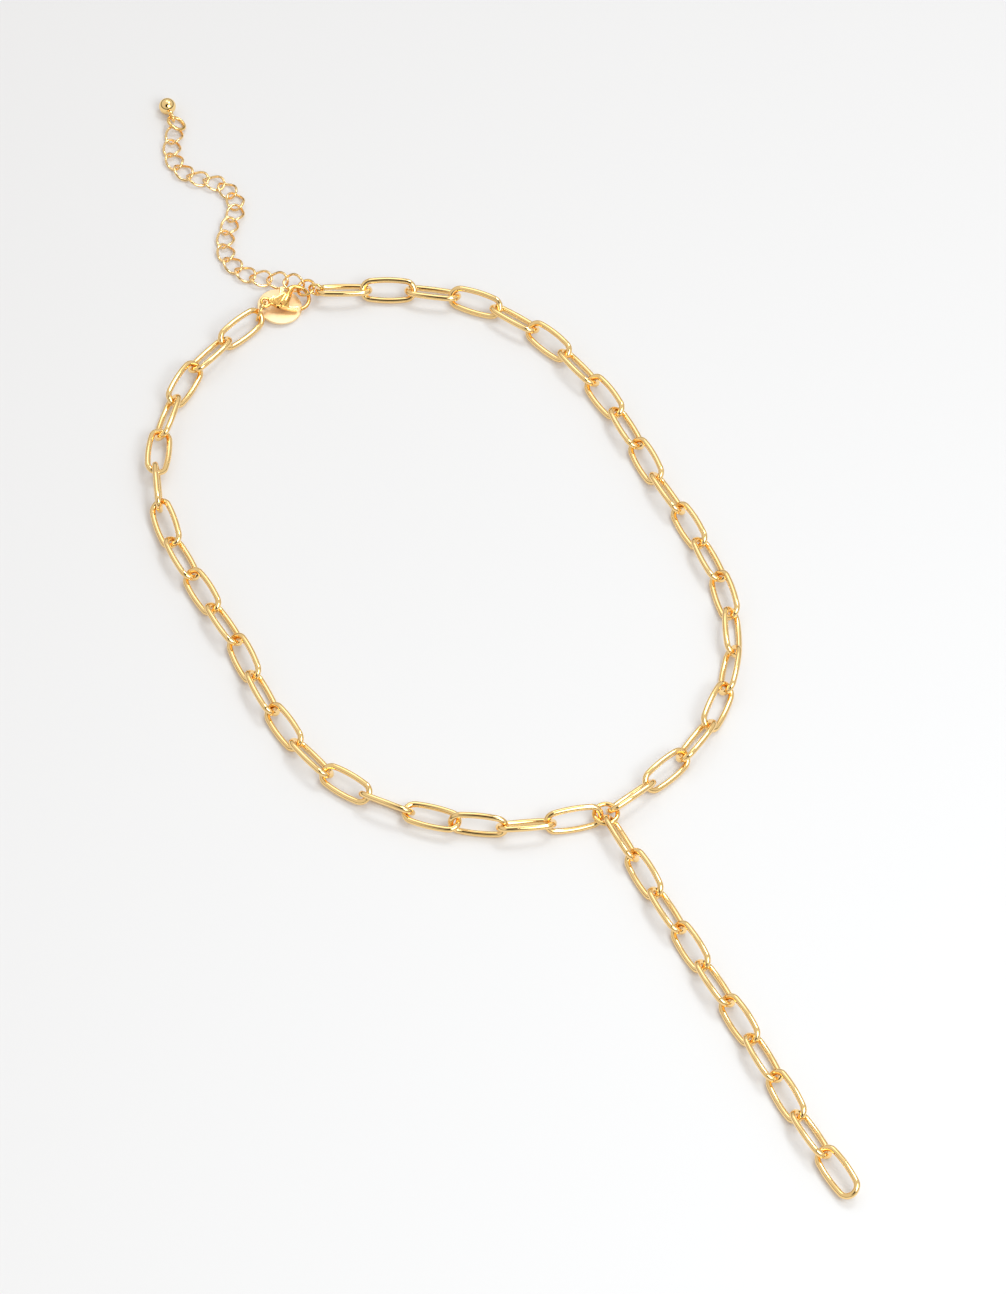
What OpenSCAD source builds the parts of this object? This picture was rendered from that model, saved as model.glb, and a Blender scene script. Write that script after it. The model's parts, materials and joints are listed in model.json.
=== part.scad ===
// Y necklace: paperclip chain in two sides and a drop, joined by a round ring,
// with a lobster clasp, a disc tag, an extender of curb links and an end ball.
// It lies on a flat surface at z = 0. X runs across it and Y away from the drop.

/* [Chain] */
// Outer length of one long link
link_len = 12.9; // [12:0.05:13.5]
// Outer width of one long link
link_w = 5.9; // [5.2:0.1:6.4]
// Wire of the long links
wire_d = 1.3; // [1:0.05:1.4]
// Radius of the centre line round a long link's end
end_r = 2.05; // [1.9:0.05:2.2]
// Slack between two long links pulled straight
link_play = 0.3; // [0.2:0.05:0.5]
// Long links in each side of the neck loop
side_links = 20; // [18:1:20]
// Long links in the drop
drop_links = 10; // [6:1:10]

/* [Centre ring] */
// Outer diameter of the ring that joins both sides and the drop
ring_d = 5.9; // [5.6:0.1:6.6]
// Wire of the centre ring
ring_wire = 1; // [0.8:0.05:1.1]

/* [Clasp] */
// From the middle of the clasp's eye to the middle of its hook
hook_reach = 7.5; // [7:0.1:8.2]
// Radius of the centre line of the hook
hook_r = 2.7; // [2.6:0.05:3]
// Wire of the hook
hook_wire = 0.9; // [0.8:0.05:0.95]
// Outer diameter of the clasp's eye
eye_d = 2.7; // [2.6:0.05:3]
// Wire of the clasp's eye
eye_wire = 0.7; // [0.6:0.05:0.75]
// Thickness of the clasp's body
body_t = 2.1; // [1.9:0.1:2.4]
// Thickness of the lever
lever_t = 0.9; // [0.7:0.05:1]
// Pin that the lever turns on
pin_d = 0.8; // [0.6:0.05:0.9]

/* [Jump rings] */
// Outer diameter of the ring at the clasp's eye
eye_ring_d = 5.2; // [5:0.05:5.4]
// Outer diameter of the ring that the hook holds
hook_ring_d = 4.6; // [4.5:0.05:4.8]
// Outer diameter of the ring at the end of the right side
chain_ring_d = 3.8; // [3.5:0.05:4]
// Wire of the jump rings
jump_wire = 0.66; // [0.55:0.01:0.7]

/* [Tag] */
// Diameter of the disc tag
tag_d = 10; // [9:0.1:11]
// Thickness of the disc tag
tag_t = 0.6; // [0.5:0.05:0.7]
// Hole in the disc tag
tag_hole = 1.5; // [1.4:0.05:1.8]
// Metal between the tag's hole and its edge
tag_rim = 0.35; // [0.3:0.05:0.5]

/* [Extender] */
// Outer length of one curb link
curb_len = 5.5; // [5.3:0.05:5.9]
// Outer width of one curb link
curb_w = 4.4; // [4:0.1:4.8]
// Wire of the curb links
curb_wire = 0.6; // [0.5:0.01:0.65]
// Twist of a curb link to each side of its middle, in degrees
curb_twist = 42; // [38:1:48]
// Slack between two curb links pulled straight
curb_play = 0.35; // [0.3:0.05:0.5]
// Curb links in the extender
curb_links = 17; // [12:1:17]
// Outer diameter of the ring that carries the ball
end_ring_d = 4.8; // [4.4:0.1:5.2]
// Wire of the ring that carries the ball
end_ring_wire = 0.8; // [0.7:0.05:0.9]
// Diameter of the end ball
ball_d = 3.9; // [3.4:0.1:4.4]

/* [Hidden] */
$fn = 48;

// Gap left where two closed pieces are pulled tight on each other
fit = 0.2;
// The same where a curb link or the ball's eye crosses a ring at a slant
slant_fit = 0.4;
// The same between a long link, which leans, and the centre ring, which lies flat
ring_play = 0.22;
// Least a long link's end stays within its half width, so that its sides never bow inward
end_room = 0.02;
// Gap round the lever's pin, at each side of the lever in its slot, and at the lever's tip
pin_gap = 0.05;
slot_gap = 0.12;
tip_gap = 0.12;

// Middle of the centre ring, from the middle of the whole outline
ring_at = [25.64, -53.52];
// Routes from the centre ring, in steps of one long link, that the sides and the drop follow
right_route = [[0, 0], [1.65, 1.45], [2.6, 3.2], [2.75, 5.2], [2.1, 7.15], [1.15, 9], [0.35, 10.75],
    [-0.8, 12.4], [-2.3, 13.65], [-4.15, 14.15], [-6.9, 14.1]];
left_route = [[0, 0], [-2.15, -0.35], [-4.1, 0.05], [-5.8, 1], [-7, 2.6], [-7.85, 4.45], [-8.85, 6.2],
    [-9.6, 8], [-9.65, 10], [-9, 11.85], [-7.65, 13.35], [-7, 14]];
drop_route = [[0, 0], [1, -1.95], [1.95, -3.75], [2.9, -5.5], [3.75, -7.25], [4.75, -9], [5.75, -10.8]];
// Route of the extender from the hook ring, in steps of one curb link
curb_route = [[0, 0], [-1.6, 0.6], [-3.1, 1], [-4.4, 2.4], [-4.4, 4.35], [-3.85, 6.25], [-4.85, 7.85],
    [-6.75, 8.5], [-7.8, 10], [-7.65, 11.8], [-7.6, 13.7]];

// Lean of each long link about its length, from the centre ring outward, in degrees
right_leans = [-55, 45, -45, 45, -50, 50, -40, 35, -45, 50, -40, 35, -35, 40, -35, 35, -40, 30, -40, 30];
left_leans = [-55, 40, -70, -5, 60, -35, 45, -45, 45, -40, 40, -35, 35, -30, 85, 20, -50, 40, -35, 45];
drop_leans = [-55, 45, -40, 45, -40, 40, -35, 40, -40, 30];
// Leans of the first curb links, and heights of the first steps as shares of the first one's
curb_leans = [-45, -22, -8];
curb_rise = [1, 0.68, 0.25];

// Half sizes and reaches that follow from the sizes above
link_pitch = link_len - 2*wire_d - link_play;
link_over = (link_len - wire_d - link_pitch)/2;
chain_lean = 50;
chain_h = (link_w - wire_d)/2*sin(chain_lean) + wire_d/2;
ring_r = (ring_d - ring_wire)/2;
ring_reach = ring_r - (ring_wire + wire_d)/2 - ring_play + link_over;
eye_ring_r = (eye_ring_d - jump_wire)/2;
hook_ring_r = (hook_ring_d - jump_wire)/2;
tag_reach = tag_d/2 - tag_rim - tag_hole/2;
hook_ring_hole = hook_ring_d - 2*jump_wire;
chain_ring_hole = chain_ring_d - 2*jump_wire;
curb_pitch = curb_len - 2*curb_wire - curb_play;
curb_over = (curb_len - curb_wire - curb_pitch)/2;
curb_stand = 0.35;
curb_h = curb_stand*(curb_w - curb_wire)/2 + curb_wire/2;
end_ring_r = (end_ring_d - end_ring_wire)/2;

// Attitudes as [heading, lean, rise] in the clasp's own frame, in degrees
clasp_pose = [0, 20, -10.5];
hook_ring_pose = [-93, 20, 0];
chain_ring_pose = [-32, 87, 0];
// Where each piece crosses the next at the hook, as turns round it in degrees
hook_side = 42;
hook_sits = [0.57, -68];
hook_ring_side = 57.2;
chain_ring_side = 153;
right_side = -37;
curb_side = -170;
// Height of the middle of the clasp's eye
eye_h = 3.74;
// Ring at the clasp's eye: its attitude, where the eye, the left side's end and the tag sit in it
eye_ring_pose = [-128, 75.5, 0];
eye_sits = [-0.09, 0.14, 0];
eye_side = 144.5;
left_sits = [0.92, -0.12, -0.19];
tag_side = -148;
tag_slip = [0.1, 0.06, 0];
tag_heading = -8;
tag_edge = 0.1;
// Lean of the ring that carries the ball, and the way from that ring to the ball
end_lean = 30;
ball_heading = 115;
// Eye soldered on the ball and its neck
ball_eye_r = 1.05;
ball_eye_wire = 0.5;
ball_neck = 0.3;
ball_neck_d = 1.3;

// Height at which a long link with a given lean stands on the surface
function stand(lean) = max(chain_h, (link_w - wire_d)/2*abs(sin(lean)) + wire_d/2);

function unit(v) = v/norm(v);
function polar(r, a) = [r*cos(a), r*sin(a), 0];
function leaned(p, a) = [p.x, p.y*cos(a) - p.z*sin(a), p.y*sin(a) + p.z*cos(a)];
function raised(p, a) = [p.x*cos(a) - p.z*sin(a), p.y, p.x*sin(a) + p.z*cos(a)];
function turned(p, a) = [p.x*cos(a) - p.y*sin(a), p.x*sin(a) + p.y*cos(a), p.z];
function posed(p, pose) = turned(raised(leaned(p, pose[1]), pose[2]), pose[0]);
function flat(p) = [p.x, p.y];
function heading(p) = atan2(p.y, p.x);

// Line through route points, and steps of given lengths along it
function spline_at(a, b, c, d, t) =
    (2*b + (c - a)*t + (2*a - 5*b + 4*c - d)*t*t + (3*b - a - 3*c + d)*t*t*t)/2;
function spline_line(p, n = 24) =
    let (e = len(p) - 1, q = concat([2*p[0] - p[1]], p, [2*p[e] - p[e - 1]]))
    concat([for (i = [1:e], k = [0:n - 1]) spline_at(q[i - 1], q[i], q[i + 1], q[i + 2], k/n)], [p[e]]);
function point_off(a, b, c, d) =
    let (u = b - a, e = a - c, k = u*u, m = u*e)
    a + u*(sqrt(max(0, m*m - k*(e*e - d*d))) - m)/k;
function step_from(l, c, d, i) =
    norm(l[i] - c) >= d || i == len(l) - 1 ? [point_off(l[i - 1], l[i], c, d), i] : step_from(l, c, d, i + 1);
function walk(l, d, n, c, i) =
    n == 0 ? [c] : let (s = step_from(l, c, d, i)) concat([c], walk(l, d, n - 1, s[0], s[1]));
function steps(route, size, n, first = 0) =
    let (l = spline_line(route*size), s = first > 0 ? step_from(l, [0, 0], first, 1) : [[0, 0], 1])
    walk(l, size, n, s[0], s[1]);
function end_of(s, over) = let (e = len(s) - 1) s[e] + over*unit(s[e] - s[e - 1]);

// Room left for the middle of a wire of radius r in a ring's hole, when both are pulled tight
function seat(hole_d, r, gap = fit) = hole_d/2 - r - gap;

// From the clasp's eye: its hook, the ring on the hook, the ring at the right side's end and that end
clasp_eye = [0, 0, eye_h];
clasp_hook = clasp_eye + posed([hook_reach, 0, 0], clasp_pose);
hook_ring_at = clasp_hook + posed(polar(hook_r, hook_side), clasp_pose)
    - posed(polar(hook_sits[0], hook_sits[1]), hook_ring_pose);
chain_ring_at = hook_ring_at + posed(polar(hook_ring_r, hook_ring_side), hook_ring_pose)
    - posed(polar(seat(chain_ring_hole, jump_wire/2), chain_ring_side), chain_ring_pose);
right_end = chain_ring_at + posed(polar(seat(chain_ring_hole, wire_d/2), right_side), chain_ring_pose);
// Where the first curb link sits in the ring on the hook
curb_end = hook_ring_at
    + posed(polar(seat(hook_ring_hole, curb_wire/2, slant_fit), curb_side), hook_ring_pose);
// Ring at the clasp's eye, and the left side's end and the tag's hole on it
eye_ring_at = clasp_eye + posed(eye_sits, clasp_pose)
    - posed(polar(eye_ring_r, eye_side), eye_ring_pose);
left_end = eye_ring_at + posed(left_sits, eye_ring_pose);
tag_hung = eye_ring_at + posed(polar(eye_ring_r, tag_side), eye_ring_pose);
tag_pose = [tag_heading, 0, -asin((tag_hung.z - tag_t/2)/(tag_reach - tag_slip.x + tag_d/2))];
tag_at = tag_hung - posed(tag_slip - [tag_reach, 0, 0], tag_pose);

// The sides as laid, from the centre ring: the right one is turned until both ends fit the clasp
left_steps = steps(left_route, link_pitch, side_links, ring_reach);
right_laid = steps(right_route, link_pitch, side_links, ring_reach);
drop_steps = steps(drop_route, link_pitch, drop_links, ring_reach);
left_tip = end_of(left_steps, link_over);
right_tip_laid = end_of(right_laid, link_over);
span = flat(right_end - left_end);
ends_angle = acos((left_tip*left_tip + right_tip_laid*right_tip_laid - span*span)
    /(2*norm(left_tip)*norm(right_tip_laid)));
right_turn = heading(left_tip) - ends_angle - heading(right_tip_laid);
right_steps = [for (p = right_laid) flat(turned([p.x, p.y, 0], right_turn))];
right_tip = end_of(right_steps, link_over);
clasp_turn = heading(right_tip - left_tip) - heading(span);
clasp_at = left_tip - flat(turned(left_end, clasp_turn));

// The extender as laid, from the ring on the hook
curb_laid = steps(curb_route, curb_pitch, curb_links);
curb_from = clasp_at + flat(turned(curb_end, clasp_turn)) + curb_over*unit(curb_laid[1] - curb_laid[0]);
curb_steps = [for (p = curb_laid) p + curb_from];
end_ring_h = end_ring_r*sin(end_lean) + end_ring_wire/2;
end_ring_at = end_of(curb_steps, curb_over + end_ring_r - (end_ring_wire + curb_wire)/2 - slant_fit);
ball_eye_at = end_ring_at
    + flat(polar(end_ring_r - (end_ring_wire + ball_eye_wire)/2 - slant_fit + ball_eye_r, ball_heading));

// Closed wire of radius r and n sides round the points p, whose broad side faces up at each
module wire_loop(p, up, r, n) {
    m = len(p);
    sections = [for (i = [0:m - 1])
        let (t = unit(p[(i + 1)%m] - p[(i + m - 1)%m]), s = unit(cross(t, up[i])), u = cross(s, t))
        each [for (k = [0:n - 1]) p[i] + r*(s*cos(360*k/n) + u*sin(360*k/n))]];
    faces = [for (i = [0:m - 1], k = [0:n - 1])
        let (a = i*n, b = (i + 1)%m*n, j = (k + 1)%n)
        each [[a + k, a + j, b + j], [a + k, b + j, b + k]]];
    polyhedron(sections, faces);
}

// Long link: two round ends and two slightly bowed sides, with n points round each end
module long_link(n = 7) {
    b = (link_w - wire_d)/2;
    r = min(end_r, b - end_room);
    a = (link_len - wire_d)/2 - r;
    side_r = (a*a + b*b - r*r)/(2*(b - r));
    bow = atan2(a, side_r - b);
    p = concat(
        [for (i = [0:n - 1]) [a, 0, 0] + polar(r, (bow - 90) + i*(180 - 2*bow)/(n - 1))],
        [[0, b, 0]],
        [for (i = [0:n - 1]) [-a, 0, 0] + polar(r, (bow + 90) + i*(180 - 2*bow)/(n - 1))],
        [[0, -b, 0]]);
    wire_loop(p, [for (i = p) [0, 0, 1]], wire_d/2, 6);
}

// Curb link: an oval twisted along its length
module curb_link(n = 12) {
    a = (curb_len - curb_wire)/2;
    b = (curb_w - curb_wire)/2;
    twist = [for (i = [0:n - 1]) curb_twist*cos(360*i/n)];
    p = [for (i = [0:n - 1]) leaned([a*cos(360*i/n), b*sin(360*i/n), 0], twist[i])];
    wire_loop(p, [for (t = twist) [0, -sin(t), cos(t)]], curb_wire/2, 6);
}

module ring(d, wire) rotate_extrude() translate([(d - wire)/2, 0]) circle(d = wire, $fn = 24);

module pose(p, a) translate(p) rotate([a[1], -a[2], a[0]]) children();

// A link between two steps of its chain, leaning about its own length
module between(p, q, lean) pose((p + q)/2, [heading(q - p), lean, atan2(q.z - p.z, norm(flat(q - p)))]) children();

// A side or the drop: where two links meet, the one that stands higher sets the height of both
module long_chain(s, leans, end_h = 0) {
    n = len(s) - 1;
    lean = [for (i = [0:n - 1]) leans[i%len(leans)]];
    h = [for (i = [0:n]) i == n && end_h > 0 ? end_h : max(stand(lean[max(i - 1, 0)]), stand(lean[min(i, n - 1)]))];
    p = [for (i = [0:n]) [s[i].x, s[i].y, h[i]]];
    for (i = [0:n - 1]) between(p[i], p[i + 1], lean[i]) long_link();
}

module laid() translate([ring_at.x, ring_at.y, 0]) children();
module at_clasp() laid() translate([clasp_at.x, clasp_at.y, 0]) rotate(clasp_turn) children();

module right_chain() color("gold") laid()
    long_chain(right_steps, right_leans, chain_h + (right_end.z - chain_h)*link_pitch/(link_pitch + link_over));
module left_chain() color("gold") laid() long_chain(left_steps, left_leans);
module drop_chain() color("gold") laid() long_chain(drop_steps, drop_leans);
module centre_ring() color("gold") laid() translate([0, 0, stand(right_leans[0])]) ring(ring_d, ring_wire);
module chain_ring() color("gold") at_clasp() pose(chain_ring_at, chain_ring_pose) ring(chain_ring_d, jump_wire);
module hook_ring() color("gold") at_clasp() pose(hook_ring_at, hook_ring_pose) ring(hook_ring_d, jump_wire);
module eye_ring() color("gold") at_clasp() pose(eye_ring_at, eye_ring_pose) ring(eye_ring_d, jump_wire);

// Outlines of the clasp, as shares of the hook's reach and of its outer radius
neck_line = [[0.1, 0.15], [0.18, 0.26], [0.32, 0.4], [0.32, -0.42], [0.18, -0.26], [0.1, -0.15]];
body_line = [[0.26, 0.34], [0.45, 0.58], [0.7, 0.86], [0.7, 0.28], [0.65, 0.06], [0.63, -0.2], [0.65, -0.5],
    [0.6, -0.7], [0.35, -0.49], [0.26, -0.36]];
spine_line = [[0.66, 0.78], [0.79, 0.94], [0.87, 0.92], [0.88, 0.6], [0.78, 0.44], [0.66, 0.22]];
gate_line = [[0.4, -0.53], [0.587, -0.77], [0.773, -0.94], [0.96, -0.99], [0.96, -0.71], [0.76, -0.66],
    [0.627, -0.46], [0.56, -0.2], [0.46, -0.1], [0.37, -0.2]];
tab_line = [[0.4, 0], [0.5, -0.25], [0.56, -0.2], [0.593, 0.315], [0.693, 0.866], [0.76, 1.22], [0.73, 1.32],
    [0.63, 1.35], [0.6, 1.26], [0.553, 0.945], [0.467, 0.378]];
clasp_unit = [hook_reach, hook_r + hook_wire/2];
function clasp_points(l) = [for (p = l) [p.x*clasp_unit.x, p.y*clasp_unit.y]];

// Lever's pin, the boss round it, the reach of its gate and the two ends of its slot
pivot = clasp_points([[0.46, -0.28]])[0];
boss_wall = 0.475;
boss_d = pin_d + 2*boss_wall;
gate_back = 0.5;
gate_reach = norm([hook_reach - gate_back, -hook_r] - pivot);
slot_ends = [0.31, 0.705]*hook_reach;
// Thickness of the neck and the spine, as shares of the body's
neck_share = 0.5;
spine_share = 0.68;

module clasp_place() at_clasp() pose(clasp_eye, clasp_pose) children();

module clasp_body() color("goldenrod") clasp_place() {
    difference() {
        union() {
            ring(eye_d, eye_wire);
            linear_extrude(neck_share*body_t, center = true) polygon(clasp_points(neck_line));
            linear_extrude(body_t, center = true) polygon(clasp_points(body_line));
            linear_extrude(spine_share*body_t, center = true) polygon(clasp_points(spine_line));
            translate([hook_reach, 0, 0]) rotate([0, 0, -80]) rotate_extrude(angle = 200)
                translate([hook_r, 0]) circle(d = hook_wire, $fn = 24);
            difference() {
                translate([hook_reach, 0, 0]) rotate([0, 0, -110]) rotate_extrude(angle = 31)
                    translate([hook_r, 0]) circle(d = hook_wire, $fn = 24);
                translate([pivot.x, pivot.y, 0])
                    cylinder(r = gate_reach + tip_gap, h = 2*body_t, center = true, $fn = 96);
            }
        }
        translate([(slot_ends[0] + slot_ends[1])/2, 0, 0])
            cube([slot_ends[1] - slot_ends[0], 4*hook_r, lever_t + 2*slot_gap], center = true);
    }
    translate([pivot.x, pivot.y, 0]) cylinder(d = pin_d, h = body_t, center = true);
}

module clasp_lever() color("goldenrod") clasp_place() difference() {
    union() {
        intersection() {
            linear_extrude(lever_t, center = true) polygon(clasp_points(gate_line));
            translate([pivot.x, pivot.y, 0]) cylinder(r = gate_reach, h = 2*lever_t, center = true, $fn = 96);
        }
        linear_extrude(lever_t, center = true) polygon(clasp_points(tab_line));
        translate([pivot.x, pivot.y, 0]) cylinder(d = boss_d, h = lever_t, center = true);
    }
    translate([pivot.x, pivot.y, 0]) cylinder(d = pin_d + 2*pin_gap, h = 2*lever_t, center = true);
}

module tag() color("gold") at_clasp() pose(tag_at, tag_pose) difference() {
    rotate_extrude($fn = 96) polygon([[0, -tag_t/2], [tag_d/2 - tag_edge, -tag_t/2], [tag_d/2, tag_edge - tag_t/2],
        [tag_d/2, tag_t/2 - tag_edge], [tag_d/2 - tag_edge, tag_t/2], [0, tag_t/2]]);
    translate([-tag_reach, 0, 0]) cylinder(d = tag_hole, h = 2*tag_t, center = true);
}

module extender_chain() color("gold") laid() {
    h = [for (i = [0:curb_links]) curb_h + (i < len(curb_rise) ? curb_rise[i] : 0)*(curb_end.z - curb_h)];
    p = [for (i = [0:curb_links]) [curb_steps[i].x, curb_steps[i].y, h[i]]];
    for (i = [0:curb_links - 1]) between(p[i], p[i + 1], i < len(curb_leans) ? curb_leans[i] : 0) curb_link();
}

module end_ring() color("gold") laid()
    pose([end_ring_at.x, end_ring_at.y, end_ring_h], [ball_heading, end_lean, 0]) ring(end_ring_d, end_ring_wire);

module end_ball() color("gold") laid() {
    reach = ball_eye_r + ball_neck + ball_d/2;
    rise = asin((ball_d/2 - end_ring_h)/reach);
    pose([ball_eye_at.x, ball_eye_at.y, end_ring_h], [ball_heading, 90, rise]) {
        ring(2*ball_eye_r + ball_eye_wire, ball_eye_wire);
        translate([ball_eye_r, 0, 0]) rotate([0, 90, 0]) cylinder(d = ball_neck_d, h = ball_neck + ball_d/4);
        translate([reach, 0, 0]) sphere(d = ball_d);
    }
}

right_chain();
left_chain();
drop_chain();
centre_ring();
chain_ring();
hook_ring();
eye_ring();
clasp_body();
clasp_lever();
tag();
extender_chain();
end_ring();
end_ball();
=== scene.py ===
import json
import math
import bmesh
import bpy
import numpy as np
from mathutils import Matrix, Vector


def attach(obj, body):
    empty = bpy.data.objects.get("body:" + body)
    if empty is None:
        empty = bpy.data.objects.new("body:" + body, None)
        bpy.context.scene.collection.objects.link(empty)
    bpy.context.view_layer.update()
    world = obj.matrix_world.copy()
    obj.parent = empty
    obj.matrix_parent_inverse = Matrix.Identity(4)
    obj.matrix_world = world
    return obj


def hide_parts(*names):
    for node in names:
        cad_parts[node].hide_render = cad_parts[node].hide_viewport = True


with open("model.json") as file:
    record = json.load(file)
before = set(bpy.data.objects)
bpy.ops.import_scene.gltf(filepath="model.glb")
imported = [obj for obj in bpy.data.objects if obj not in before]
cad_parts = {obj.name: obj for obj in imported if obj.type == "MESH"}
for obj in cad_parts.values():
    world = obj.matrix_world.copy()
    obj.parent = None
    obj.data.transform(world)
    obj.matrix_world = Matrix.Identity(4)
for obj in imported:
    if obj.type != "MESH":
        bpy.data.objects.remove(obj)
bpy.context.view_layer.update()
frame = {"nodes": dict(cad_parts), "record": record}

# The view: the necklace lies on a table top and is seen from above its drop,
# a little more than halfway up, through a long lens that keeps it nearly flat.
VIEW_HEIGHT = 0.9165
VIEW_BACK = -0.6701
VIEW_RIGHT = 0.0042
VIEW_DOWN = math.radians(54.19)
view = bpy.data.cameras.new("view")
view.lens = 147.2
view.sensor_width = 36
view.clip_end = 10
view_object = bpy.data.objects.new("view", view)
view_object.location = (VIEW_RIGHT, VIEW_BACK, VIEW_HEIGHT)
view_object.rotation_euler = (math.pi / 2 - VIEW_DOWN, 0, 0)
bpy.context.scene.collection.objects.link(view_object)
bpy.context.scene.camera = view_object
bpy.context.scene.view_settings.view_transform = "Standard"

# The table top: one wide sheet of matt board with a faint warm glow of its own, a painted glow
# that lifts and warms the shadows in place of light thrown off the gold; its colour is a little
# blue so that where it is lit it stays neutral. It is a backdrop and no part of the necklace.
BOARD = 4.0
board = bpy.data.meshes.new("board")
board_corners = [(x * BOARD, y * BOARD, 0) for x, y in ((-1, -1), (1, -1), (1, 1), (-1, 1))]
board.from_pydata(board_corners, [], [(0, 1, 2, 3)])
board_paint = bpy.data.materials.new("board_paint")
board_paint.use_nodes = True
board_shader = board_paint.node_tree.nodes["Principled BSDF"]
board_shader.inputs["Base Color"].default_value = (0.588, 0.622, 0.646, 1)
# Painted glow: the board gives off warm light of its own, so its shadows come out pale and warm.
board_shader.inputs["Emission Color"].default_value = (1, 0.72, 0.52, 1)
board_shader.inputs["Emission Strength"].default_value = 0.17
board_shader.inputs["Roughness"].default_value = 0.9
board_shader.inputs["Specular IOR Level"].default_value = 0.1
board.materials.append(board_paint)
board_object = bpy.data.objects.new("board", board)
bpy.context.scene.collection.objects.link(board_object)


# Studio light: a lamp at the back right, one at the near right and a large weak one
# high behind, in a pale room that is dim near the horizon and dark where whoever takes
# the picture stands, so that polished wire shows white lines beside thin brown ones.
def studio_lamp(name, place, size, watts):
    """Soft square lamp that faces the necklace."""
    lamp = bpy.data.lights.new(name, "AREA")
    lamp.color = (0.955, 0.98, 1)
    lamp.shape = "SQUARE"
    lamp.size = size
    lamp.energy = watts
    lamp_object = bpy.data.objects.new(name, lamp)
    lamp_object.location = place
    lamp_object.rotation_euler = (-Vector(place)).to_track_quat("-Z", "Y").to_euler()
    bpy.context.scene.collection.objects.link(lamp_object)


studio_lamp("key", (0.35, 0.42, 1.02), 0.3, 3.0)
studio_lamp("near", (0.28, -0.34, 0.58), 0.4, 3.1)
studio_lamp("back", (-0.12, 0.8, 1.15), 0.55, 1.6)
DIM_LEVEL, DIM_RISE = 0.08, 0.08
PALE_LEVEL, PALE_RISE = 0.78, 0.35
SHADE_START, SHADE_FULL, SHADE_LEVEL = 0.87, 0.96, 0.02
studio = bpy.data.worlds.new("studio")
studio.use_nodes = True
room, room_wires = studio.node_tree.nodes, studio.node_tree.links
way = room.new("ShaderNodeTexCoord")
rise = room.new("ShaderNodeSeparateXYZ")
level = room.new("ShaderNodeMapRange")
RANGE_ENDS = ("From Min", "From Max", "To Min", "To Max")
for socket, value in zip(RANGE_ENDS, (DIM_RISE, PALE_RISE, DIM_LEVEL, PALE_LEVEL)):
    level.inputs[socket].default_value = value
photographer = room.new("ShaderNodeVectorMath")
photographer.operation = "DOT_PRODUCT"
photographer.inputs[1].default_value = (0, -math.cos(VIEW_DOWN), math.sin(VIEW_DOWN))
shade = room.new("ShaderNodeMapRange")
for socket, value in zip(RANGE_ENDS, (SHADE_START, SHADE_FULL, 1, SHADE_LEVEL)):
    shade.inputs[socket].default_value = value
both = room.new("ShaderNodeMath")
both.operation = "MULTIPLY"
room["Background"].inputs["Color"].default_value = (1, 0.985, 0.97, 1)
room_wires.new(way.outputs["Generated"], rise.inputs["Vector"])
room_wires.new(rise.outputs["Z"], level.inputs["Value"])
room_wires.new(way.outputs["Generated"], photographer.inputs[0])
room_wires.new(photographer.outputs["Value"], shade.inputs["Value"])
room_wires.new(level.outputs["Result"], both.inputs[0])
room_wires.new(shade.outputs["Result"], both.inputs[1])
room_wires.new(both.outputs["Value"], room["Background"].inputs["Strength"])
bpy.context.scene.world = studio


# The long links: closed loops of round brass wire, bent round a former, soldered
# and gold plated, then polished. Every one is set where the chain's solid has a link.
LINK_LENGTH, LINK_WIDTH, LINK_WIRE, LINK_END = 0.0129, 0.0059, 0.0013, 0.00205
LINK_POINTS, LINK_SIDES = 16, 20


def plated(name, colour, polish, warm=(0.98, 0.57, 0.16), cloud=260.0, scratch=0.003):
    """Gold plate: a polished coat with slightly uneven colour and fine rubbing marks."""
    plate = bpy.data.materials.new(name)
    plate.use_nodes = True
    nodes, wires = plate.node_tree.nodes, plate.node_tree.links
    coat = nodes["Principled BSDF"]
    coat.inputs["Metallic"].default_value = 1.0
    place = nodes.new("ShaderNodeTexCoord")
    clouds = nodes.new("ShaderNodeTexNoise")
    clouds.inputs["Scale"].default_value = cloud
    clouds.inputs["Detail"].default_value = 4
    wires.new(place.outputs["Object"], clouds.inputs["Vector"])
    tint = nodes.new("ShaderNodeMix")
    tint.data_type = "RGBA"
    tint.inputs["A"].default_value = (*colour, 1)
    tint.inputs["B"].default_value = (*warm, 1)
    spread = nodes.new("ShaderNodeMapRange")
    for socket, value in zip(RANGE_ENDS, (0.45, 0.8, 0, 0.35)):
        spread.inputs[socket].default_value = value
    wires.new(clouds.outputs["Fac"], spread.inputs["Value"])
    wires.new(spread.outputs["Result"], tint.inputs["Factor"])
    wires.new(tint.outputs["Result"], coat.inputs["Base Color"])
    marks = nodes.new("ShaderNodeTexNoise")
    marks.inputs["Scale"].default_value = 2400
    marks.inputs["Detail"].default_value = 6
    wires.new(place.outputs["Object"], marks.inputs["Vector"])
    shine = nodes.new("ShaderNodeMapRange")
    shine.inputs["To Min"].default_value = polish[0]
    shine.inputs["To Max"].default_value = polish[1]
    wires.new(marks.outputs["Fac"], shine.inputs["Value"])
    wires.new(shine.outputs["Result"], coat.inputs["Roughness"])
    rub = nodes.new("ShaderNodeBump")
    rub.inputs["Strength"].default_value = scratch
    rub.inputs["Distance"].default_value = 0.0001
    wires.new(marks.outputs["Fac"], rub.inputs["Height"])
    wires.new(rub.outputs["Normal"], coat.inputs["Normal"])
    return plate


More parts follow.
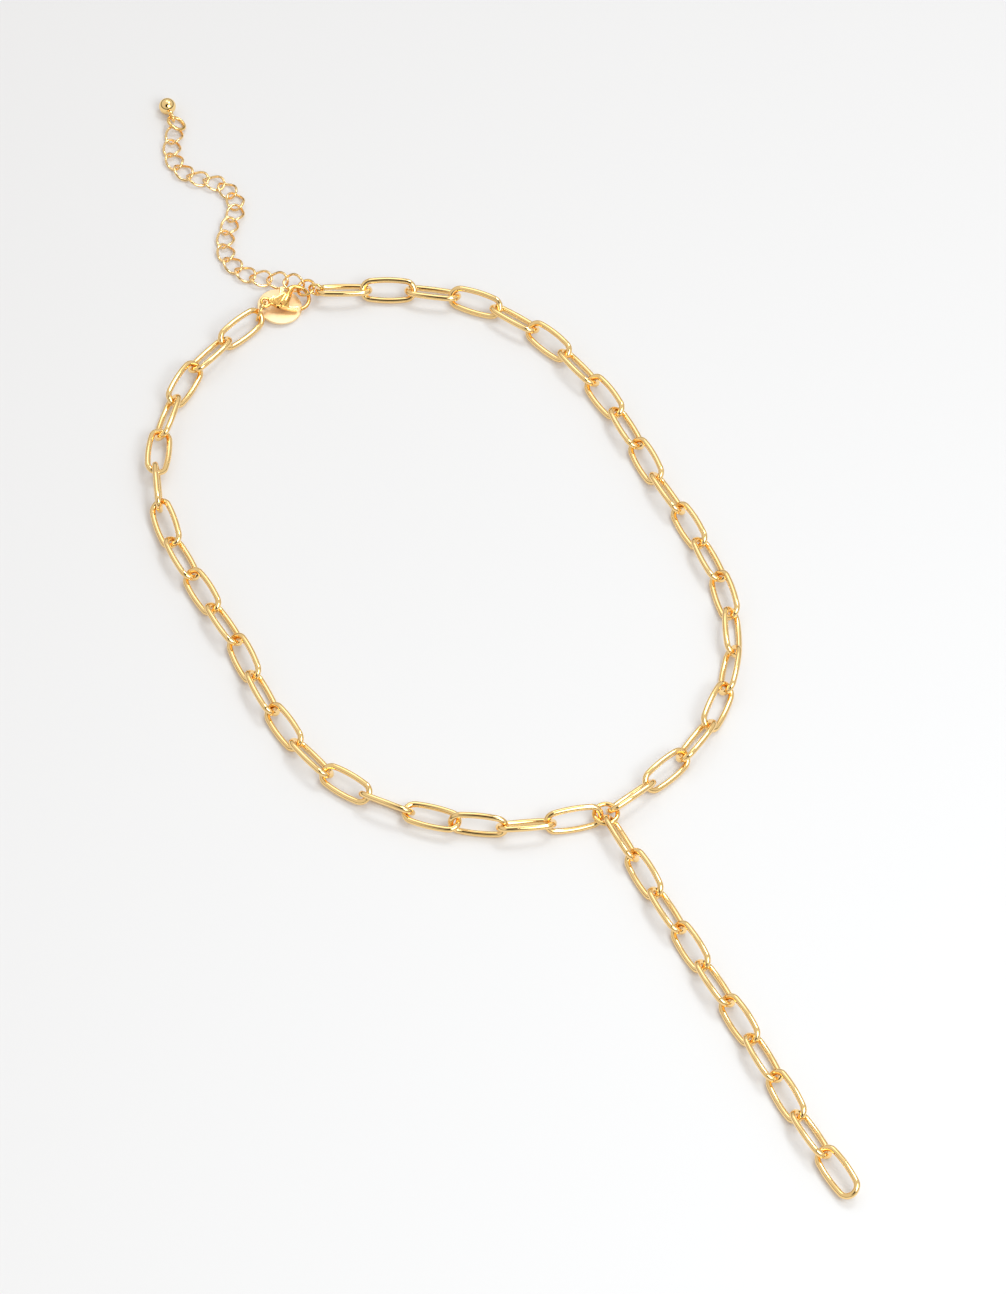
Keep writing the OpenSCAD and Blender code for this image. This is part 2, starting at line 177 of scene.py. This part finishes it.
def solids_of(node):
    """The separate solids of a node: the corners of each."""
    mesh = bmesh.new()
    mesh.from_mesh(frame["nodes"][node].data)
    bmesh.ops.remove_doubles(mesh, verts=mesh.verts, dist=1e-6)
    left, found = dict.fromkeys(mesh.verts), []
    while left:
        front = [left.popitem()[0]]
        corners = []
        while front:
            corner = front.pop()
            corners.append(corner.co[:])
            for edge in corner.link_edges:
                other = edge.other_vert(corner)
                if other in left:
                    del left[other]
                    front.append(other)
        found.append(np.array(corners))
    mesh.free()
    return sorted(found, key=lambda c: tuple(c.mean(axis=0)))


def lie_of(corners):
    """Middle of a solid and its own axes, the longest first and the flattest last."""
    middle = corners.mean(axis=0)
    axes = np.linalg.svd(corners - middle, full_matrices=False)[2]
    axes[2] = np.cross(axes[0], axes[1])
    along = (corners - middle) @ axes.T
    middle = middle + ((along.max(axis=0) + along.min(axis=0)) / 2) @ axes
    lie = Matrix.Identity(4)
    for i in range(3):
        for k in range(3):
            lie[k][i] = axes[i][k]
        lie[i][3] = middle[i]
    return lie


def chain_maker():
    """Tree that sweeps one loop of wire and sets a copy at every point given."""
    maker = bpy.data.node_groups.new("chain_maker", "GeometryNodeTree")
    maker.interface.new_socket("Places", in_out="INPUT", socket_type="NodeSocketGeometry")
    maker.interface.new_socket("Loop", in_out="INPUT", socket_type="NodeSocketObject")
    maker.interface.new_socket("Wire radius", in_out="INPUT", socket_type="NodeSocketFloat")
    maker.interface.new_socket("Wire sides", in_out="INPUT", socket_type="NodeSocketInt")
    maker.interface.new_socket("Finish", in_out="INPUT", socket_type="NodeSocketMaterial")
    maker.interface.new_socket("Chain", in_out="OUTPUT", socket_type="NodeSocketGeometry")
    nodes, wires = maker.nodes, maker.links
    given, made = nodes.new("NodeGroupInput"), nodes.new("NodeGroupOutput")
    loop = nodes.new("GeometryNodeObjectInfo")
    section = nodes.new("GeometryNodeCurvePrimitiveCircle")
    sweep = nodes.new("GeometryNodeCurveToMesh")
    sweep.inputs["Fill Caps"].default_value = True
    turn = nodes.new("GeometryNodeInputNamedAttribute")
    turn.data_type = "QUATERNION"
    turn.inputs["Name"].default_value = "turn"
    lay = nodes.new("GeometryNodeInstanceOnPoints")
    real = nodes.new("GeometryNodeRealizeInstances")
    smooth = nodes.new("GeometryNodeSetShadeSmooth")
    finish = nodes.new("GeometryNodeSetMaterial")
    wires.new(given.outputs["Loop"], loop.inputs["Object"])
    wires.new(given.outputs["Wire radius"], section.inputs["Radius"])
    wires.new(given.outputs["Wire sides"], section.inputs["Resolution"])
    wires.new(loop.outputs["Geometry"], sweep.inputs["Curve"])
    wires.new(section.outputs["Curve"], sweep.inputs["Profile Curve"])
    wires.new(given.outputs["Places"], lay.inputs["Points"])
    wires.new(sweep.outputs["Mesh"], lay.inputs["Instance"])
    wires.new(turn.outputs["Attribute"], lay.inputs["Rotation"])
    wires.new(lay.outputs["Instances"], real.inputs["Geometry"])
    wires.new(real.outputs["Geometry"], smooth.inputs["Geometry"])
    wires.new(smooth.outputs["Geometry"], finish.inputs["Geometry"])
    wires.new(given.outputs["Finish"], finish.inputs["Material"])
    wires.new(finish.outputs["Geometry"], made.inputs["Chain"])
    return maker


def loop_line(name, points, closed=True):
    """Line through points, which a loop's wire follows."""
    line = bpy.data.curves.new(name, "CURVE")
    line.dimensions = "3D"
    spline = line.splines.new("POLY")
    spline.points.add(len(points) - 1)
    for point, place in zip(spline.points, points):
        point.co = (*place, 1)
    spline.use_cyclic_u = closed
    return bpy.data.objects.new(name, line)


def lay_wire(name, node, lies, loop, wire_radius, sides, finish):
    """One piece of wire work: the loop's wire set at each place given."""
    points = bpy.data.meshes.new(name)
    points.from_pydata([lie.translation for lie in lies], [], [])
    turns = points.attributes.new("turn", "QUATERNION", "POINT")
    for place, lie in zip(turns.data, lies):
        place.value = lie.to_quaternion()
    chain = bpy.data.objects.new(name, points)
    bpy.context.scene.collection.objects.link(chain)
    modifier = chain.modifiers.new("links", "NODES")
    modifier.node_group = MAKER
    values = {"Loop": loop, "Wire radius": wire_radius, "Wire sides": sides, "Finish": finish}
    for socket in MAKER.interface.items_tree:
        if socket.name in values:
            modifier[socket.identifier] = values[socket.name]
    ready = chain.evaluated_get(bpy.context.evaluated_depsgraph_get())
    chain.modifiers.clear()
    chain.data = bpy.data.meshes.new_from_object(ready)
    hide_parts(node)
    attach(chain, "necklace")
    return chain


def link_line():
    """Line of a long link: two round ends and two slightly bowed sides."""
    a = (LINK_LENGTH - LINK_WIRE) / 2 - LINK_END
    b = (LINK_WIDTH - LINK_WIRE) / 2
    side = (a * a + b * b - LINK_END**2) / (2 * (b - LINK_END))
    bow = math.atan2(a, side - b)
    half = []
    for i in range(LINK_POINTS + 1):
        turn = bow - math.pi / 2 + i * (math.pi - 2 * bow) / LINK_POINTS
        half.append((a + LINK_END * math.cos(turn), LINK_END * math.sin(turn), 0))
    for i in range(1, LINK_POINTS // 2):
        turn = math.pi / 2 - bow + 2 * bow * i / (LINK_POINTS // 2)
        half.append((side * math.cos(turn), b - side + side * math.sin(turn), 0))
    return half + [(-x, -y, z) for x, y, z in half]


MAKER = chain_maker()
CHAIN_GOLD = plated("chain_gold", (1.0, 0.7, 0.31), (0.03, 0.09))
link_loop = loop_line("link_loop", link_line())
for chain_name in ("right_chain", "left_chain", "drop_chain"):
    link_lies = [lie_of(corners) for corners in solids_of(chain_name)]
    lay_wire(chain_name + "_links", chain_name, link_lies, link_loop, LINK_WIRE / 2, LINK_SIDES, CHAIN_GOLD)

# The extender: small oval loops of finer wire, each twisted a little so that the
# next one lies flat against it, as a curb chain is made.
CURB_LENGTH, CURB_WIDTH, CURB_WIRE, CURB_TWIST = 0.0055, 0.0044, 0.0006, math.radians(34)
CURB_POINTS, CURB_SIDES = 40, 14
curb_points = []
for i in range(CURB_POINTS):
    turn = 2 * math.pi * i / CURB_POINTS
    twist = CURB_TWIST * math.cos(turn)
    out = (CURB_WIDTH - CURB_WIRE) / 2 * math.sin(turn)
    curb_points.append(((CURB_LENGTH - CURB_WIRE) / 2 * math.cos(turn), out * math.cos(twist), out * math.sin(twist)))
CURB_GOLD = plated("curb_gold", (1.0, 0.7, 0.33), (0.03, 0.09))
curb_loop = loop_line("curb_loop", curb_points)
curb_lies = [lie_of(corners) for corners in solids_of("extender_chain")]
lay_wire("extender_links", "extender_chain", curb_lies, curb_loop, CURB_WIRE / 2, CURB_SIDES, CURB_GOLD)

# The rings: round brass wire coiled on a rod, cut into rings and pressed shut, so that
# each keeps a hair-thin joint. They carry the chains, the clasp, the tag and the ball.
# For each: its width, its wire and where its joint is, in degrees round it.
RINGS = {
    "centre_ring": (0.0059, 0.001, 200),
    "chain_ring": (0.0038, 0.00066, 60),
    "hook_ring": (0.0046, 0.00066, 110),
    "eye_ring": (0.0052, 0.00066, 70),
    "end_ring": (0.0048, 0.0008, 300),
}
RING_POINTS, RING_SIDES = 72, 20
RING_JOINT = 0.00004
RING_GOLD = plated("ring_gold", (0.97, 0.64, 0.24), (0.05, 0.12))


def flat_lie(node):
    """Middle of a round flat solid, its normal and a level axis in its plane."""
    lie = lie_of(solids_of(node)[0])
    normal = lie.col[2].to_3d().normalized()
    if normal.z < 0:
        normal.negate()
    level = Vector((-normal.y, normal.x, 0)) if normal.z < 0.999 else Vector((1, 0, 0))
    level.normalize()
    axes = Matrix((level, normal.cross(level), normal)).transposed()
    return Matrix.LocRotScale(lie.translation, axes, None)


for ring_name, (across, wire, joint) in RINGS.items():
    radius = (across - wire) / 2
    gap = RING_JOINT / radius
    ring_points = []
    for i in range(RING_POINTS + 1):
        turn = math.radians(joint) + gap / 2 + (2 * math.pi - gap) * i / RING_POINTS
        ring_points.append((radius * math.cos(turn), radius * math.sin(turn), 0))
    ring_loop = loop_line(ring_name + "_line", ring_points, closed=False)
    ring_lies = [flat_lie(ring_name)]
    lay_wire(ring_name + "_wire", ring_name, ring_lies, ring_loop, wire / 2, RING_SIDES, RING_GOLD)

# The clasp's body: a lobster claw cast in brass with its eye, polished all over and
# plated. A slot through its middle takes the lever, and a pin is pressed across it.
HOOK_REACH, HOOK_RADIUS, HOOK_WIRE = 0.0075, 0.0027, 0.0009
EYE_ACROSS, EYE_WIRE = 0.0027, 0.0007
BODY_THICK, LEVER_THICK, SLOT_GAP = 0.0021, 0.0009, 0.00012
PIVOT = Vector((0.46 * HOOK_REACH, -0.28 * (HOOK_RADIUS + HOOK_WIRE / 2), 0))
PIN_RADIUS, PIN_GAP = 0.0004, 0.00005
# The claw and its pin get a darker, more orange copy of the gold plate: painted shade that stands in for the dark
# reflections in the claw's curves.
CLASP_SHADED_GOLD = plated("clasp_shaded_gold", (0.89, 0.53, 0.16), (0.04, 0.1), warm=(0.72, 0.34, 0.07), cloud=500.0)


def clasp_lie():
    """The clasp's own frame: from its eye towards its hook, level with its flat side."""
    hinge = frame["record"]["behaviour"]["joints"][0]
    hook = next(m for m in frame["record"]["mounts"] if m["name"] == "clasp_hook")
    up = Vector(hinge["axis"]).normalized()
    along = Vector(hook["pos_m"]) - Vector(hinge["pos_m"])
    across = HOOK_REACH - PIVOT.x, -PIVOT.y
    along = Matrix.Rotation(-math.atan2(across[1], across[0]), 3, up) @ along
    along = (along - along.dot(up) * up).normalized()
    axes = Matrix((along, up.cross(along), up)).transposed()
    return Matrix.LocRotScale(Vector(hook["pos_m"]) - HOOK_REACH * along, axes, None)


def smooth_outline(shares, steps=6):
    """Closed smooth line through an outline given as shares of the clasp's size."""
    unit = (HOOK_REACH, HOOK_RADIUS + HOOK_WIRE / 2)
    points = [Vector((x * unit[0], y * unit[1])) for x, y in shares]
    line = []
    for i in range(len(points)):
        a, b, c, d = (points[(i + k - 1) % len(points)] for k in range(4))
        for k in range(steps):
            t = k / steps
            bend = (2 * a - 5 * b + 4 * c - d) * t**2 + (3 * b - a - 3 * c + d) * t**3
            line.append((2 * b + (c - a) * t + bend) / 2)
    return line


def add_slab(mesh, line, thick):
    """Slab with an outline, on both sides of the clasp's middle plane."""
    low = [mesh.verts.new((*p, -thick / 2)) for p in line]
    high = [mesh.verts.new((*p, thick / 2)) for p in line]
    mesh.faces.new(low[::-1])
    mesh.faces.new(high)
    for i in range(len(line)):
        k = (i + 1) % len(line)
        mesh.faces.new((low[i], low[k], high[k], high[i]))


def add_tube(mesh, line, radii, closed=False, sides=24, high=1.0):
    """Bar in the middle plane along a line, with a radius at every point, round or flattened."""
    rows = []
    for i, p in enumerate(line):
        before = line[i - 1] if i or closed else p
        after = line[(i + 1) % len(line)] if closed or i + 1 < len(line) else p
        along = (after - before).normalized()
        side = Vector((-along.y, along.x, 0))
        row = []
        for k in range(sides):
            turn = 2 * math.pi * k / sides
            out = math.cos(turn) * side + Vector((0, 0, high * math.sin(turn)))
            row.append(mesh.verts.new(p + radii[i] * out))
        rows.append(row)
    for i in range(len(rows) if closed else len(rows) - 1):
        a, b = rows[i], rows[(i + 1) % len(rows)]
        for k in range(sides):
            j = (k + 1) % sides
            mesh.faces.new((a[k], b[k], b[j], a[j]))
    if not closed:
        mesh.faces.new(rows[0])
        mesh.faces.new(rows[-1][::-1])


def arc(middle, radius, start, end, steps):
    """Points along an arc in the middle plane, between two turns in degrees."""
    turns = [math.radians(start + (end - start) * i / steps) for i in range(steps + 1)]
    return [Vector((middle[0] + radius * math.cos(t), middle[1] + radius * math.sin(t), 0)) for t in turns]


def cast(name, mesh, grain, melt, cuts):
    """Cast shape: slabs and bars run into one skin, softened, then cut."""
    bmesh.ops.recalc_face_normals(mesh, faces=mesh.faces)
    data = bpy.data.meshes.new(name)
    mesh.to_mesh(data)
    mesh.free()
    shape = bpy.data.objects.new(name, data)
    bpy.context.scene.collection.objects.link(shape)
    skin = shape.modifiers.new("skin", "REMESH")
    skin.mode = "VOXEL"
    skin.voxel_size = grain
    soften = shape.modifiers.new("soften", "SMOOTH")
    soften.factor = 0.5
    soften.iterations = melt
    for i, cutter in enumerate(cuts):
        cut = shape.modifiers.new("cut%d" % i, "BOOLEAN")
        cut.operation = "DIFFERENCE"
        cut.solver = "EXACT"
        cut.object = cutter
    ready = shape.evaluated_get(bpy.context.evaluated_depsgraph_get())
    made = bpy.data.meshes.new_from_object(ready)
    shape.modifiers.clear()
    shape.data = made
    for cutter in cuts:
        bpy.data.objects.remove(cutter)
    return shape


def cutter(name, add):
    """Shape that is only cut away from another."""
    mesh = bmesh.new()
    add(mesh)
    bmesh.ops.recalc_face_normals(mesh, faces=mesh.faces)
    data = bpy.data.meshes.new(name)
    mesh.to_mesh(data)
    mesh.free()
    made = bpy.data.objects.new(name, data)
    bpy.context.scene.collection.objects.link(made)
    made.hide_render = True
    return made


def set_down(piece, lie, material, node, body):
    """Set a piece in its place, in its mesh, give it its finish, and let it stand for its solid."""
    piece.data.transform(lie)
    piece.data.materials.clear()
    piece.data.materials.append(material)
    piece.data.shade_smooth()
    piece.data.set_sharp_from_angle(angle=math.radians(38))
    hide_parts(node)
    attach(piece, body)


NECK_LINE = [(0.1, 0.15), (0.18, 0.26), (0.32, 0.4), (0.32, -0.42), (0.18, -0.26), (0.1, -0.15)]
BODY_LINE = [(0.24, 0.14), (0.36, 0.26), (0.5, 0.4), (0.62, 0.46), (0.7, 0.2), (0.69, -0.3), (0.67, -0.55),
             (0.6, -0.7), (0.35, -0.5), (0.24, -0.32)]
CROWN_LINE = [(0.47, -0.5), (0.53, -0.34), (0.61, -0.12), (0.69, 0.12), (0.77, 0.38), (0.86, 0.64), (0.95, 0.8),
              (1.03, 0.85)]
CROWN_HALF = (0.0006, 0.00082, 0.0009, 0.00088, 0.0008, 0.00068, 0.00054, 0.00045)
CROWN_STEPS, CROWN_HIGH = 6, 1.12
NECK_THICK, SIDE_THICK = 0.5 * BODY_THICK, 0.66 * BODY_THICK
HOOK_ENDS, HOOK_STEPS, HOOK_SLIM, HOOK_SWELL = (125, -86), 60, 0.98, 0.35
SLOT_ENDS = (0.31 * HOOK_REACH, 0.705 * HOOK_REACH)
CLASP_LIE = clasp_lie()
claw = bmesh.new()
eye_line = arc((0, 0), (EYE_ACROSS - EYE_WIRE) / 2, 0, 360, 47)[:-1]
add_tube(claw, eye_line, [EYE_WIRE / 2] * len(eye_line), closed=True)
add_slab(claw, smooth_outline(NECK_LINE), NECK_THICK)
add_slab(claw, smooth_outline(BODY_LINE), SIDE_THICK)
# The crown's last point only gives its end a direction, so the bar stops one point before it.
crown_line = [Vector((*p, 0)) for p in smooth_outline(CROWN_LINE, CROWN_STEPS)[:1 - 2 * CROWN_STEPS]]
crown_last = len(CROWN_HALF) - 1
crown_half = np.interp(np.linspace(0, crown_last, len(crown_line)), range(crown_last + 1), CROWN_HALF).tolist()
add_tube(claw, crown_line, crown_half, high=CROWN_HIGH)
hook_line = arc((HOOK_REACH, 0), HOOK_RADIUS, *HOOK_ENDS, HOOK_STEPS)
hook_swell = [max(0, 1 - 2 * i / HOOK_STEPS) for i in range(HOOK_STEPS + 1)]
add_tube(claw, hook_line, [HOOK_WIRE / 2 * (HOOK_SLIM + HOOK_SWELL * swell**2) for swell in hook_swell])
slot_middle = sum(SLOT_ENDS) / 2
slot_size = (SLOT_ENDS[1] - SLOT_ENDS[0], 4 * HOOK_RADIUS, LEVER_THICK + 2 * SLOT_GAP)
lever_slot = cutter("lever_slot", lambda mesh: bmesh.ops.create_cube(
    mesh, size=1, matrix=Matrix.LocRotScale(Vector((slot_middle, 0, 0)), None, Vector(slot_size))))
clasp_claw = cast("clasp_claw", claw, grain=0.00006, melt=12, cuts=[lever_slot])
set_down(clasp_claw, CLASP_LIE, CLASP_SHADED_GOLD, "clasp_body", "necklace")

# The clasp's pin: a short brass rod pressed through the body, with its ends dressed
# flush. The lever turns on it.
PIN_EDGE = 0.00006
pin = bmesh.new()
bmesh.ops.create_cone(pin, cap_ends=True, segments=32, radius1=PIN_RADIUS, radius2=PIN_RADIUS, depth=BODY_THICK,
                      matrix=Matrix.Translation(PIVOT))
bmesh.ops.bevel(pin, geom=[e for e in pin.edges if len(e.link_faces) == 2 and e.calc_face_angle() > 1],
                offset=PIN_EDGE, segments=3, affect="EDGES")
pin_data = bpy.data.meshes.new("clasp_pin")
pin.to_mesh(pin_data)
pin.free()
clasp_pin = bpy.data.objects.new("clasp_pin", pin_data)
bpy.context.scene.collection.objects.link(clasp_pin)
set_down(clasp_pin, CLASP_LIE, CLASP_SHADED_GOLD, "clasp_body", "necklace")

# The clasp's lever: a cast brass gate with a thumb tab, bored for the pin. A small
# spring inside the body, which can't be seen, holds its tip against the hook.
GATE_LINE = [(0.4, -0.53), (0.587, -0.77), (0.773, -0.94), (0.96, -0.99), (0.96, -0.71), (0.76, -0.66),
             (0.627, -0.46), (0.56, -0.2), (0.46, -0.1), (0.37, -0.2)]
TAB_LINE = [(0.4, 0), (0.5, -0.25), (0.56, -0.2), (0.593, 0.315), (0.693, 0.866), (0.76, 1.22), (0.73, 1.32),
            (0.63, 1.35), (0.6, 1.26), (0.553, 0.945), (0.467, 0.378)]
BOSS_RADIUS = PIN_RADIUS + 0.000475
TIP_BACK = 0.0005
gate = bmesh.new()
add_slab(gate, smooth_outline(GATE_LINE), LEVER_THICK)
add_slab(gate, smooth_outline(TAB_LINE), LEVER_THICK)
bmesh.ops.create_cone(gate, cap_ends=True, segments=40, radius1=BOSS_RADIUS, radius2=BOSS_RADIUS,
                      depth=LEVER_THICK, matrix=Matrix.Translation(PIVOT))
gate_reach = (Vector((HOOK_REACH - TIP_BACK, -HOOK_RADIUS, 0)) - PIVOT).length


def gate_end(mesh):
    """Everything beyond the reach of the gate's tip, as a ring round the pin."""
    count = 96
    rows = []
    for radius in (gate_reach, 3 * gate_reach):
        for z in (-LEVER_THICK, LEVER_THICK):
            turns = [2 * math.pi * i / count for i in range(count)]
            places = [Vector((radius * math.cos(t), radius * math.sin(t), z)) for t in turns]
            rows.append([mesh.verts.new(PIVOT + place) for place in places])
    for a, b in ((0, 1), (1, 3), (3, 2), (2, 0)):
        for i in range(count):
            k = (i + 1) % count
            mesh.faces.new((rows[a][i], rows[a][k], rows[b][k], rows[b][i]))


bore = cutter("bore", lambda mesh: bmesh.ops.create_cone(
    mesh, cap_ends=True, segments=48, radius1=PIN_RADIUS + PIN_GAP, radius2=PIN_RADIUS + PIN_GAP,
    depth=2 * LEVER_THICK, matrix=Matrix.Translation(PIVOT)))
clasp_gate = cast("clasp_gate", gate, grain=0.00005, melt=8, cuts=[bore, cutter("tip_cut", gate_end)])
# The lever's gold is paler than the claw's: painted highlight, so that the thumb tab and the gate read as lit against
# the body.
LEVER_LIT_GOLD = plated("lever_lit_gold", (1.0, 0.71, 0.34), (0.08, 0.16), cloud=500.0)
set_down(clasp_gate, CLASP_LIE, LEVER_LIT_GOLD, "clasp_lever", "lever")

# The tag: a plain round disc stamped from brass sheet, its faces brushed satin and
# its rim turned bright. It hangs by a hole near its edge on the clasp's eye ring.
TAG_RADIUS, TAG_THICK, TAG_HOLE, TAG_REACH = 0.005, 0.0006, 0.00075, 0.0039
TAG_ROUND = 0.00014


def brushed(name, colour, polish):
    """Satin plate: fine straight brush marks, a softer shine and slightly cloudy colour."""
    plate = plated(name, colour, polish, cloud=380.0, scratch=0.0)
    nodes, wires = plate.node_tree.nodes, plate.node_tree.links
    place = next(n for n in nodes if n.type == "TEX_COORD")
    along = nodes.new("ShaderNodeMapping")
    along.inputs["Rotation"].default_value = (0, 0, math.radians(25))
    along.inputs["Scale"].default_value = (250, 9000, 250)
    lines = nodes.new("ShaderNodeTexNoise")
    lines.inputs["Scale"].default_value = 1
    lines.inputs["Detail"].default_value = 3
    rub = nodes.new("ShaderNodeBump")
    rub.inputs["Strength"].default_value = 0.16
    rub.inputs["Distance"].default_value = 0.00002
    wires.new(place.outputs["Object"], along.inputs["Vector"])
    wires.new(along.outputs["Vector"], lines.inputs["Vector"])
    wires.new(lines.outputs["Fac"], rub.inputs["Height"])
    wires.new(rub.outputs["Normal"], nodes["Principled BSDF"].inputs["Normal"])
    return plate


def tag_lie():
    """Middle of the tag, the way to its hole and its normal, from its solid."""
    corners = solids_of("tag")[0]
    axes = np.linalg.svd(corners - corners.mean(axis=0), full_matrices=False)[2]
    flat = (corners - corners.mean(axis=0)) @ axes.T
    middle = (flat.max(axis=0) + flat.min(axis=0)) / 2
    rim = np.hypot(*(flat - middle)[:, :2].T)
    hole = flat[rim < 0.95 * TAG_REACH + TAG_HOLE]
    to_hole = ((hole.max(axis=0) + hole.min(axis=0)) / 2 - middle)[:2] @ axes[:2]
    normal = Vector(axes[2]) if axes[2][2] > 0 else -Vector(axes[2])
    along = Vector(to_hole).normalized()
    spot = Vector(corners.mean(axis=0) + middle @ axes)
    return Matrix.LocRotScale(spot, Matrix((along, normal.cross(along), normal)).transposed(), None)


disc = bmesh.new()
half = TAG_THICK / 2 - TAG_ROUND
edge = [(0, -TAG_THICK / 2)]
for i in range(7):
    turn = math.radians(-90 + 30 * i)
    height = math.copysign(half, turn) + TAG_ROUND * math.sin(turn)
    edge.append((TAG_RADIUS - TAG_ROUND + TAG_ROUND * math.cos(turn), height))
edge.append((0, TAG_THICK / 2))
line = [disc.verts.new((x, 0, z)) for x, z in edge]
sides = [disc.edges.new(pair) for pair in zip(line, line[1:])]
bmesh.ops.spin(disc, geom=line + sides, axis=(0, 0, 1), cent=(0, 0, 0), steps=120, angle=2 * math.pi)
bmesh.ops.remove_doubles(disc, verts=disc.verts, dist=1e-7)
bmesh.ops.recalc_face_normals(disc, faces=disc.faces)
disc_data = bpy.data.meshes.new("tag_disc")
disc.to_mesh(disc_data)
disc.free()
tag_disc = bpy.data.objects.new("tag_disc", disc_data)
bpy.context.scene.collection.objects.link(tag_disc)
punch = cutter("punch", lambda mesh: bmesh.ops.create_cone(
    mesh, cap_ends=True, segments=48, radius1=TAG_HOLE, radius2=TAG_HOLE, depth=4 * TAG_THICK,
    matrix=Matrix.Translation((TAG_REACH, 0, 0))))
hole_cut = tag_disc.modifiers.new("hole", "BOOLEAN")
hole_cut.solver = "EXACT"
hole_cut.object = punch
tag_made = bpy.data.meshes.new_from_object(tag_disc.evaluated_get(bpy.context.evaluated_depsgraph_get()))
tag_disc.modifiers.clear()
tag_disc.data = tag_made
bpy.data.objects.remove(punch)
TAG_GOLD = brushed("tag_gold", (1.0, 0.8, 0.5), (0.5, 0.6))
set_down(tag_disc, tag_lie(), TAG_GOLD, "tag", "necklace")

# The end ball: a solid polished brass bead with a short neck and a small eye of
# wire soldered on, which hangs on the last ring of the extender.
BALL_RADIUS, BALL_EYE, BALL_EYE_WIRE, BALL_NECK, NECK_RADIUS = 0.00195, 0.00105, 0.0005, 0.0003, 0.00065


def ball_lie():
    """Middle of the ball, the way to its eye and the normal of that eye, from its solid."""
    corners, skin = solids_of("end_ball")[0], 0.0003
    far = corners[corners[:, 2].argmax()] - (0, 0, BALL_RADIUS)
    for _ in range(20):
        out = corners - far
        length = np.linalg.norm(out, axis=1)
        near = np.abs(length - BALL_RADIUS) < skin
        far = (corners[near] - BALL_RADIUS * out[near] / length[near, None]).mean(axis=0)
    eye = corners[np.linalg.norm(corners - far, axis=1) > BALL_RADIUS + skin]
    middle = (eye.max(axis=0) + eye.min(axis=0)) / 2
    spread = np.linalg.svd(eye - eye.mean(axis=0), full_matrices=False)[2]
    along = Vector(middle - far).normalized()
    normal = Vector(spread[2])
    normal = (normal - normal.dot(along) * along).normalized()
    return Matrix.LocRotScale(Vector(far), Matrix((along, normal.cross(along), normal)).transposed(), None)


NECK_BLEND, NECK_TAPER, BEAD_STEPS = 0.12, 0.9, 40
FOOT_OUT, FOOT_WIDE = 0.00006, 0.00002
bead = bmesh.new()
neck_turn = math.asin(NECK_RADIUS / BALL_RADIUS)
bead_turns = np.linspace(math.pi, neck_turn + NECK_BLEND, BEAD_STEPS)
bead_line = [(BALL_RADIUS * math.cos(t), BALL_RADIUS * math.sin(t)) for t in bead_turns]
neck_start = BALL_RADIUS * math.cos(neck_turn) + FOOT_OUT
neck_end = BALL_RADIUS + BALL_NECK + BALL_EYE_WIRE / 4
bead_line += [(neck_start, NECK_RADIUS + FOOT_WIDE), (neck_end, NECK_RADIUS * NECK_TAPER), (neck_end, 0)]
line = [bead.verts.new((x, y, 0)) for x, y in bead_line]
sides = [bead.edges.new(pair) for pair in zip(line, line[1:])]
bmesh.ops.spin(bead, geom=line + sides, axis=(1, 0, 0), cent=(0, 0, 0), steps=72, angle=2 * math.pi)
bmesh.ops.remove_doubles(bead, verts=bead.verts, dist=1e-7)
eye_middle = BALL_RADIUS + BALL_NECK + BALL_EYE
ball_eye_line = [Vector((eye_middle, 0, 0)) + p for p in arc((0, 0), BALL_EYE, 0, 360, 48)[:-1]]
add_tube(bead, ball_eye_line, [BALL_EYE_WIRE / 2] * len(ball_eye_line), closed=True, sides=16)
bmesh.ops.recalc_face_normals(bead, faces=bead.faces)
bead_data = bpy.data.meshes.new("ball_bead")
bead.to_mesh(bead_data)
bead.free()
ball_bead = bpy.data.objects.new("ball_bead", bead_data)
bpy.context.scene.collection.objects.link(ball_bead)
BALL_GOLD = plated("ball_gold", (1.0, 0.72, 0.32), (0.03, 0.09), cloud=300.0, scratch=0.002)
set_down(ball_bead, ball_lie(), BALL_GOLD, "end_ball", "necklace")
